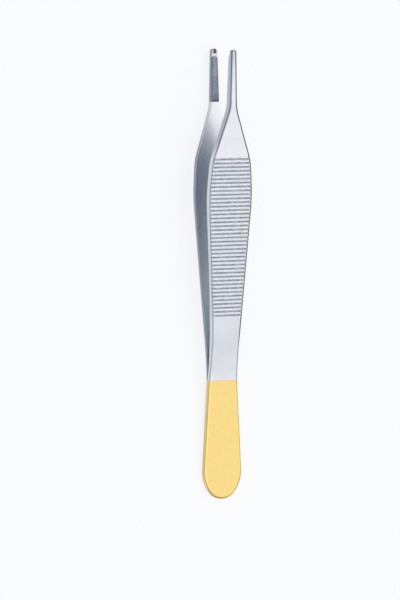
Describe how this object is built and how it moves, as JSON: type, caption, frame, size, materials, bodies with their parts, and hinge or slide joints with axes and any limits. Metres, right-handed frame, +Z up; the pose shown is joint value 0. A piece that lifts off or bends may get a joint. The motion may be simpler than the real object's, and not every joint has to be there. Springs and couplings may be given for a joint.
{
  "type": "thumb forceps",
  "caption": "Thumb forceps: two spring arms welded at a rounded gold-finished handle, with a broad grooved grip and narrow toothed tips that carry carbide platforms.",
  "frame": {"origin": "centre of the bounding box, on the surface that the lower arm lies on", "axes": "+Y along the forceps towards the tips, +X across the width of the arms, +Z up, from the lower arm to the upper arm"},
  "size_m": [0.0124, 0.1202, 0.0146],
  "materials": {
    "arm_steel": "satin stainless steel, gold plated over the welded handle end",
    "platform_carbide": "dark grey tungsten carbide, finely cross-hatched"
  },
  "bodies": {
    "root": {"upper_arm": "arm_steel", "lower_arm": "arm_steel", "upper_platform": "platform_carbide", "lower_platform": "platform_carbide"}
  },
  "joints": []
}
